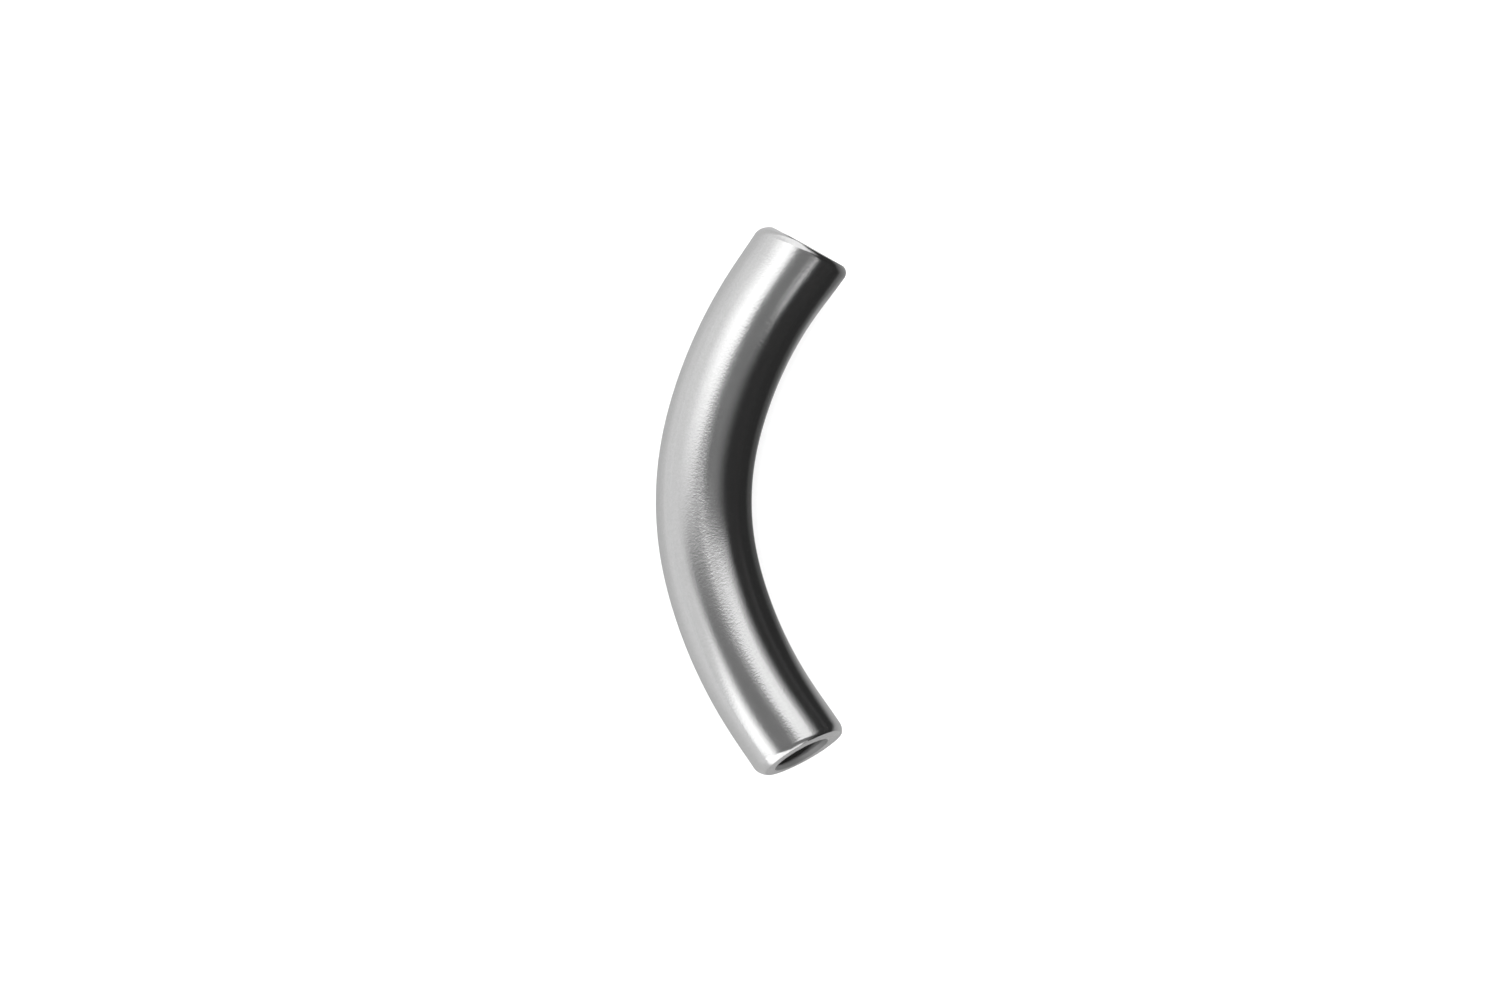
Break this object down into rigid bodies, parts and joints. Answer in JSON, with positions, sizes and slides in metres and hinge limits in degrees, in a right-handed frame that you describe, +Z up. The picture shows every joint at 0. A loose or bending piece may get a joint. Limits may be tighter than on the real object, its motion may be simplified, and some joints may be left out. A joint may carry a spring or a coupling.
{
  "type": "curved eyebrow barbell",
  "caption": "Short curved round bar with rounded rims and a tapped hole in each end face, worn through an eyebrow piercing with a ball screwed into each end.",
  "frame": {"origin": "centre of the footprint, on the surface that the bar lies on", "axes": "+Y along the bar's length, +X towards the open side of the bend with its back at -X, +Z up"},
  "size_m": [0.0024, 0.007, 0.0012],
  "materials": {
    "bar_metal": "satin polish"
  },
  "bodies": {
    "root": {"curved_bar": "bar_metal"}
  },
  "joints": []
}
